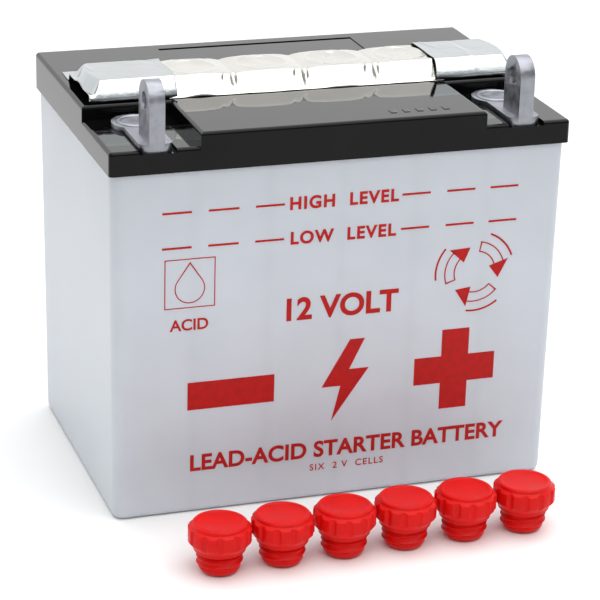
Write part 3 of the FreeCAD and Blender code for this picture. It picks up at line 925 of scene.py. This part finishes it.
class BATTERY_OT_foil(bpy.types.Operator):
    """Lays the middle foil strip and its two end strips over the filler necks"""
    bl_idname = "battery.foil"
    bl_label = "Foil seal"

    def execute(self, context):
        settings = context.scene.battery_foil
        cream = foil_finish("cream_foil", tuple(settings.middle_colour))
        bright = foil_finish("bright_foil", tuple(settings.end_colour))
        for node, end, seed, count, crumple in STRIPS:
            low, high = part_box(node)
            back = settings.end_back_edge if end else settings.back_edge
            grid = lay_grid((low.x, -settings.front_edge), (high.x, back), settings.mesh_size)
            creases = draw_creases(seed, low.x, high.x, count, settings.crease)
            if not end:
                creases += saddle_folds(neck_places()[1:-1], settings)
            shape_strip(grid, settings, end, creases, crumple)
            finish_foil(grid, settings)
            settle(grid, "sealing_" + node, bright if end else cream, "foil_seal", [node])
        return {"FINISHED"}


# --- marks on the lid --------------------------------------------------------------------------

MARKS = 5
MARK_SLIMNESS = 0.64           # a mark's width over its size front to back
MARK_DOMING = 0.4              # rise of its inset top over its own rise


class BATTERY_OT_marks(bpy.types.Operator):
    """Raises a row of small plain marks on the lid's front panel"""
    bl_idname = "battery.marks"
    bl_label = "Lid marks"

    def execute(self, context):
        settings = context.scene.battery_case
        lid_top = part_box("foil_strip")[0].z
        rise = settings.mark_rise
        half_x, half_y = settings.mark_size * MARK_SLIMNESS / 2, settings.mark_size / 2
        marks = []
        for index in range(MARKS):
            x, y = settings.mark_x + index * settings.mark_pitch, -settings.mark_front
            mark = add_block((x - half_x, y - half_y, lid_top - rise),
                             (x + half_x, y + half_y, lid_top + rise))
            edit(mark, "FACE")
            pick(mark, "FACE", lambda p: p.z > lid_top)
            bpy.ops.mesh.inset(thickness=rise, depth=0)
            bpy.ops.transform.translate(value=(0, 0, rise * MARK_DOMING))
            leave()
            marks.append(mark)
        row = join(marks)
        clean(row)
        settle(row, "lid_marks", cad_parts["lid"].data.materials[0], "battery")
        return {"FINISHED"}


# --- print on the front ------------------------------------------------------------------------

def front_place():
    """Matrix that takes (x, height) drawn on the level plane to the case's sloping front face."""
    low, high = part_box("container")
    base = Vector((0, low.y + CASE_DRAFT, 0))
    up = (Vector((0, low.y, high.z)) - base).normalized()
    right = Vector((1, 0, 0))
    turned = Matrix((right, up, right.cross(up))).transposed().to_4x4()
    return Matrix.Translation(base) @ turned


def flat_face(points, thickness):
    """A flat outlined shape on the level plane with a little thickness."""
    mesh = bpy.data.meshes.new("shape")
    shape = bpy.data.objects.new("shape", mesh)
    bpy.context.scene.collection.objects.link(shape)
    build = bmesh.new()
    face = build.faces.new([build.verts.new((x, y, 0)) for x, y in points])
    if face.calc_area() and face.normal.z < 0:
        face.normal_flip()
    build.to_mesh(mesh)
    build.free()
    edit(shape, "FACE")
    bpy.ops.mesh.select_all(action="SELECT")
    bpy.ops.mesh.extrude_region_move(TRANSFORM_OT_translate={"value": (0, 0, thickness)})
    leave()
    clean(shape)
    return shape


def bar(x0, x1, y0, y1, thickness):
    """A printed rectangle."""
    return flat_face([(x0, y0), (x1, y0), (x1, y1), (x0, y1)], thickness)


def on_circle(centre, radius, degrees):
    """The point at an angle on a circle."""
    angle = math.radians(degrees)
    return centre[0] + radius * math.cos(angle), centre[1] + radius * math.sin(angle)


def arc_points(centre, radius, start, stop, count=24):
    """Points along an arc, angles in degrees."""
    return [on_circle(centre, radius, start + (stop - start) * index / count) for index in range(count + 1)]


def ring_band(centre, inner, outer, start, stop, thickness):
    """A printed band along an arc."""
    points = arc_points(centre, outer, start, stop) + arc_points(centre, inner, stop, start)
    return flat_face(points, thickness)


def words(text, x, y, size, thickness, spacing=1.0, weight=0.0):
    """Printed lettering, centred on x with its feet on y. It is filled at full size and then made small."""
    deselect()
    bpy.ops.object.text_add()
    line = bpy.context.object
    line.data.body = text
    line.data.align_x = "CENTER"
    line.data.space_character = spacing
    line.data.offset = weight
    line.data.extrude = thickness / size / 2
    line.data.resolution_u = 6
    bpy.ops.object.convert(target="MESH")
    line = bpy.context.object
    clean(line)
    line.scale = (size, size, size)
    line.location = (x, y, thickness / 2)
    apply_place(line)
    return line


LEVEL_DASHES = ((-71.5, -60), (-53.5, -41.5), (-35, -23.5), (23.8, 35.5), (42.3, 54), (60.3, 72))
LEVEL_HALF_WIDTH = 0.42 * MM
LEVEL_LABEL_SIZE = 6.9 * MM


def level_line(height, label, t):
    """Dashes, a label in the middle and dashes again, along an acid level."""
    half = LEVEL_HALF_WIDTH
    parts = [bar(start * MM, stop * MM, height - half, height + half, t) for start, stop in LEVEL_DASHES]
    parts.append(words(label, 0.3 * MM, height - 2.3 * MM, LEVEL_LABEL_SIZE, t, spacing=1.16, weight=0.035))
    return parts


def bolt_sign(x, y, size, t):
    """A lightning bolt."""
    shape = [(0.1, 1.0), (-0.56, -0.14), (-0.1, -0.14), (-0.3, -1.0), (0.58, 0.26), (0.1, 0.26), (0.46, 1.0)]
    return flat_face([(x + px * size, y + py * size) for px, py in shape], t)


def plus_sign(x, y, reach, half, t):
    """A thick plus."""
    points = []
    for turn in range(4):
        angle = turn * math.pi / 2
        for px, py in ((reach, -half), (reach, half), (half, half)):
            points.append((x + px * math.cos(angle) - py * math.sin(angle),
                           y + px * math.sin(angle) + py * math.cos(angle)))
    return flat_face(points, t)


def drop_sign(x, y, half, radius, line, t):
    """A drop drawn in a thin line inside a square frame."""
    parts = [bar(x - half, x + half, y + half - line, y + half, t),
             bar(x - half, x + half, y - half, y - half + line, t),
             bar(x - half, x - half + line, y - half, y + half, t),
             bar(x + half - line, x + half, y - half, y + half, t)]
    middle = (x, y - radius * 0.35)
    parts.append(ring_band(middle, radius - line, radius, -210, 30, t))
    tip = y + radius * 1.45
    for side in (-1, 1):
        outer = on_circle(middle, radius, 90 - 60 * side)
        inner = on_circle(middle, radius - line, 90 - 60 * side)
        parts.append(flat_face([outer, (x, tip), (x, tip - 2.2 * line), inner], t))
    return parts


def loop_sign(x, y, radius, band, line, t):
    """Three outlined arrows that chase each other round a circle, inside three thin arcs."""
    parts = []
    for index in range(3):
        start = 80 - index * 120
        turn, neck = start - 66, start - 62
        for edge in (radius - band / 2, radius + band / 2 - line):
            parts.append(ring_band((x, y), edge, edge + line, turn, start, t))
        parts.append(ring_band((x, y), radius - band / 2, radius + band / 2, start - 3, start, t))
        tip = on_circle((x, y), radius, start - 98)
        left = on_circle((x, y), radius + band * 0.95, neck)
        right = on_circle((x, y), radius - band * 0.95, neck)
        parts.append(flat_face([left, right, tip], t))
        outside = radius + band * 1.25
        parts.append(ring_band((x, y), outside, outside + line * 1.5, start - 60, start - 12, t))
    return parts


class BATTERY_OT_print(bpy.types.Operator):
    """Prints the acid levels and plain signs on the front of the case"""
    bl_idname = "battery.print"
    bl_label = "Front print"

    def execute(self, context):
        settings = context.scene.battery_print
        t = settings.ink_thickness
        ink = ink_finish(tuple(settings.ink_colour))
        prints = {
            "print_upper_level": level_line(settings.upper_level, "HIGH  LEVEL", t),
            "print_lower_level": level_line(settings.lower_level, "LOW  LEVEL", t),
            "print_drop": drop_sign(-60.5 * MM, 96.5 * MM, 10 * MM, 6 * MM, 0.4 * MM, t)
            + [words("ACID", -60.5 * MM, 77.5 * MM, 6.4 * MM, t, weight=0.02)],
            "print_voltage": [words("12 VOLT", 0, 77.5 * MM, 12.6 * MM, t, weight=0.03)],
            "print_loop": loop_sign(55.5 * MM, 90.5 * MM, 10.5 * MM, 4.4 * MM, 0.5 * MM, t),
            "print_polarity": [bar(-61 * MM, -26 * MM, 44 * MM, 55.5 * MM, t),
                               bolt_sign(3 * MM, 50 * MM, 17 * MM, t),
                               plus_sign(49 * MM, 50 * MM, 17 * MM, 5.75 * MM, t)],
            "print_kind": [words("LEAD-ACID STARTER BATTERY", 5.5 * MM, 18.2 * MM, 9.3 * MM, t,
                                 spacing=1.02, weight=0.03)],
            "print_cells": [words("SIX  2 V  CELLS", 5 * MM, 12.3 * MM, 3.9 * MM, t,
                                  spacing=1.2, weight=0.01)],
        }
        place = front_place()
        for name, parts in prints.items():
            piece = join(parts)
            piece.data.transform(place)
            settle(piece, name, ink, "battery")
        return {"FINISHED"}


# --- stage -------------------------------------------------------------------------------------

FLOOR_REACH = 3.0
CAMERA_PLACE = (-0.3018, -0.9017, 0.4252)
CAMERA_TURN = (18.74, 20.93, 1.49)      # to the right, down, and tilted, in degrees
# Place, target, size and colour of the two lights.
OVERHEAD_LIGHT = (0.3, -0.5, 1.5), (0.3, -0.5, 0), (1.9, 2.6), (1.0, 1.0, 1.0)
LEFT_LIGHT = (-1.2, -0.9, 0.9), (0, 0, 0.08), (0.8, 0.8), (1.0, 1.0, 0.75)


def soft_light(name, power, place, target, size, colour):
    """A rectangular area light aimed at a point."""
    data = bpy.data.lights.new(name, "AREA")
    data.shape = "RECTANGLE"
    data.size, data.size_y = size
    data.energy = power
    data.color = colour
    light = bpy.data.objects.new(name, data)
    bpy.context.scene.collection.objects.link(light)
    light.location = place
    light.rotation_euler = (Vector(target) - Vector(place)).to_track_quat("-Z", "Y").to_euler()


class BATTERY_OT_stage(bpy.types.Operator):
    """Adds the pale floor, the soft lights and the camera"""
    bl_idname = "battery.stage"
    bl_label = "Stage"

    def execute(self, context):
        settings = context.scene.battery_stage
        floor = lay_grid((-FLOOR_REACH, -FLOOR_REACH), (FLOOR_REACH, FLOOR_REACH), 0.5)
        floor.name = "floor"
        pale = finish_of("pale_floor", shade_of(settings.floor_colour, 0.99), tuple(settings.floor_colour),
                         rough=(0.75, 0.85), mottle=0.4, grain=0.01, depth=0.00002)[0]
        floor.data.materials.append(pale)
        world = bpy.data.worlds.new("studio")
        world.use_nodes = True
        nodes, links = world.node_tree.nodes, world.node_tree.links
        place = nodes.new("ShaderNodeTexCoord")
        parts = nodes.new("ShaderNodeSeparateXYZ")
        links.new(place.outputs["Generated"], parts.inputs["Vector"])
        strength = spread(nodes, links, parts.outputs["Y"], low=settings.front_sky, high=settings.back_sky,
                          start=0.0, stop=0.5)
        nodes["Background"].inputs["Color"].default_value = (1, 1, 1, 1)
        links.new(strength, nodes["Background"].inputs["Strength"])
        context.scene.world = world
        context.scene.view_settings.view_transform = "Standard"
        soft_light("overhead", settings.overhead, *OVERHEAD_LIGHT)
        soft_light("left", settings.side, *LEFT_LIGHT)
        data = bpy.data.cameras.new("camera")
        data.lens = settings.lens
        camera = bpy.data.objects.new("camera", data)
        context.scene.collection.objects.link(camera)
        yaw, pitch, roll = (math.radians(angle) for angle in CAMERA_TURN)
        ahead = Vector((math.sin(yaw) * math.cos(pitch), math.cos(yaw) * math.cos(pitch), -math.sin(pitch)))
        right = Vector((math.cos(yaw), -math.sin(yaw), 0))
        up = right.cross(ahead)
        tilted_right = math.cos(roll) * right + math.sin(roll) * up
        tilted_up = math.cos(roll) * up - math.sin(roll) * right
        turn = Matrix((tilted_right, tilted_up, -ahead)).transposed().to_4x4()
        camera.matrix_world = Matrix.Translation(CAMERA_PLACE) @ turn
        context.scene.camera = camera
        return {"FINISHED"}


# --- panel, and running it all -----------------------------------------------------------------

class BATTERY_PT_panel(bpy.types.Panel):
    """Lists the battery's pieces in the sidebar"""
    bl_idname = "BATTERY_PT_panel"
    bl_label = "Motorcycle battery"
    bl_space_type = "VIEW_3D"
    bl_region_type = "UI"
    bl_category = "Battery"

    def draw(self, context):
        for operator in OPERATORS:
            self.layout.operator(operator.bl_idname)


SETTINGS = {
    "battery_case": BatteryCaseSettings,
    "battery_terminal": BatteryTerminalSettings,
    "battery_plug": BatteryPlugSettings,
    "battery_foil": BatteryFoilSettings,
    "battery_print": BatteryPrintSettings,
    "battery_stage": BatteryStageSettings,
}
OPERATORS = (BATTERY_OT_case, BATTERY_OT_cells, BATTERY_OT_terminals, BATTERY_OT_plugs,
             BATTERY_OT_foil, BATTERY_OT_marks, BATTERY_OT_print, BATTERY_OT_stage)


def register():
    """Registers the settings, the operators and the panel."""
    for name, group in SETTINGS.items():
        bpy.utils.register_class(group)
        setattr(bpy.types.Scene, name, bpy.props.PointerProperty(type=group))
    for operator in OPERATORS:
        bpy.utils.register_class(operator)
    bpy.utils.register_class(BATTERY_PT_panel)


def unregister():
    """Takes the panel, the operators and the settings away again."""
    bpy.utils.unregister_class(BATTERY_PT_panel)
    for operator in reversed(OPERATORS):
        bpy.utils.unregister_class(operator)
    for name, group in SETTINGS.items():
        delattr(bpy.types.Scene, name)
        bpy.utils.unregister_class(group)


def main():
    """Builds every piece and the stage."""
    register()
    bpy.ops.battery.case()
    bpy.ops.battery.cells()
    bpy.ops.battery.terminals()
    bpy.ops.battery.plugs()
    bpy.ops.battery.foil()
    bpy.ops.battery.marks()
    bpy.ops.battery.print()
    bpy.ops.battery.stage()


if __name__ == "__main__":
    main()
